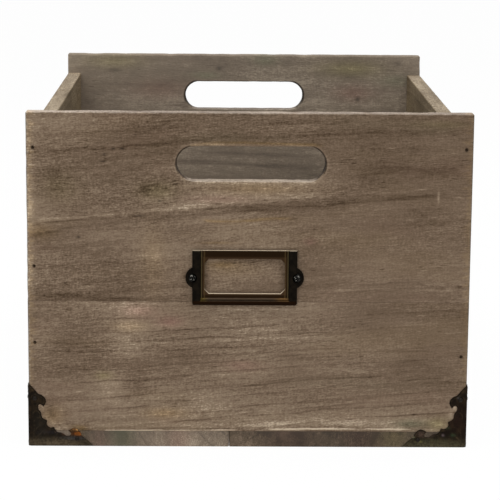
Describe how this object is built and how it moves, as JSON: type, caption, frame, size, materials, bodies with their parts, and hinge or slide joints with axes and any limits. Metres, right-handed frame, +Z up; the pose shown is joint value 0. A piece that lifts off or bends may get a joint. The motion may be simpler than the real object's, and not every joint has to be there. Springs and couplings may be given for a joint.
{
  "type": "wooden storage box",
  "caption": "Open wooden storage box with an oval hand slot in its front and back walls, a metal label holder and folded metal corner plates at its foot.",
  "frame": {"origin": "the middle of the underside, on the surface that the box stands on", "axes": "+X to the right as one faces the label holder, +Y from the front wall to the back wall, +Z up"},
  "size_m": [0.3032, 0.4048, 0.231],
  "materials": {
    "front_wood": "weathered grey-brown stain over softwood, matt, sanded pale at the edges",
    "back_wood": "weathered grey-brown stain over softwood, matt",
    "side_wood": "weathered grey-brown stain over softwood, matt, sanded pale along the top edge",
    "floor_wood": "weathered grey stain over softwood, matt, open end grain at front and back",
    "plate_bronze": "thin stamped metal with a dark antique bronze finish, worn on its raised parts",
    "label_bronze": "stamped brass with a dark antique finish, worn to brass along the inner bead",
    "pin_metal": "blackened steel, slightly polished on top",
    "brad_steel": "dull steel wire"
  },
  "bodies": {
    "root": {"back_lower_board": "back_wood", "back_upper_board": "back_wood", "corner_plate_back_left": "plate_bronze", "corner_plate_back_right": "plate_bronze", "corner_plate_front_left": "plate_bronze", "corner_plate_front_right": "plate_bronze", "floor_brad_back_1": "brad_steel", "floor_brad_back_2": "brad_steel", "floor_brad_back_3": "brad_steel", "floor_brad_back_4": "brad_steel", "floor_brad_front_1": "brad_steel", "floor_brad_front_2": "brad_steel", "floor_brad_front_3": "brad_steel", "floor_brad_front_4": "brad_steel", "floor_brad_left_1": "brad_steel", "floor_brad_left_2": "brad_steel", "floor_brad_right_1": "brad_steel", "floor_brad_right_2": "brad_steel", "floor_left_board": "floor_wood", "floor_right_board": "floor_wood", "front_lower_board": "front_wood", "front_upper_board": "front_wood", "label_holder": "label_bronze", "label_screw_left": "pin_metal", "label_screw_right": "pin_metal", "left_lower_board": "side_wood", "left_upper_board": "side_wood", "plate_pin_back_left_first_high": "pin_metal", "plate_pin_back_left_first_low": "pin_metal", "plate_pin_back_left_second_high": "pin_metal", "plate_pin_back_left_second_low": "pin_metal", "plate_pin_back_right_first_high": "pin_metal", "plate_pin_back_right_first_low": "pin_metal", "plate_pin_back_right_second_high": "pin_metal", "plate_pin_back_right_second_low": "pin_metal", "plate_pin_front_left_first_high": "pin_metal", "plate_pin_front_left_first_low": "pin_metal", "plate_pin_front_left_second_high": "pin_metal", "plate_pin_front_left_second_low": "pin_metal", "plate_pin_front_right_first_high": "pin_metal", "plate_pin_front_right_first_low": "pin_metal", "plate_pin_front_right_second_high": "pin_metal", "plate_pin_front_right_second_low": "pin_metal", "right_lower_board": "side_wood", "right_upper_board": "side_wood", "wall_brad_back_left_1": "brad_steel", "wall_brad_back_left_2": "brad_steel", "wall_brad_back_left_3": "brad_steel", "wall_brad_back_right_1": "brad_steel", "wall_brad_back_right_2": "brad_steel", "wall_brad_front_left_1": "brad_steel", "wall_brad_front_left_2": "brad_steel", "wall_brad_front_left_3": "brad_steel", "wall_brad_front_right_1": "brad_steel", "wall_brad_front_right_2": "brad_steel"}
  },
  "joints": []
}
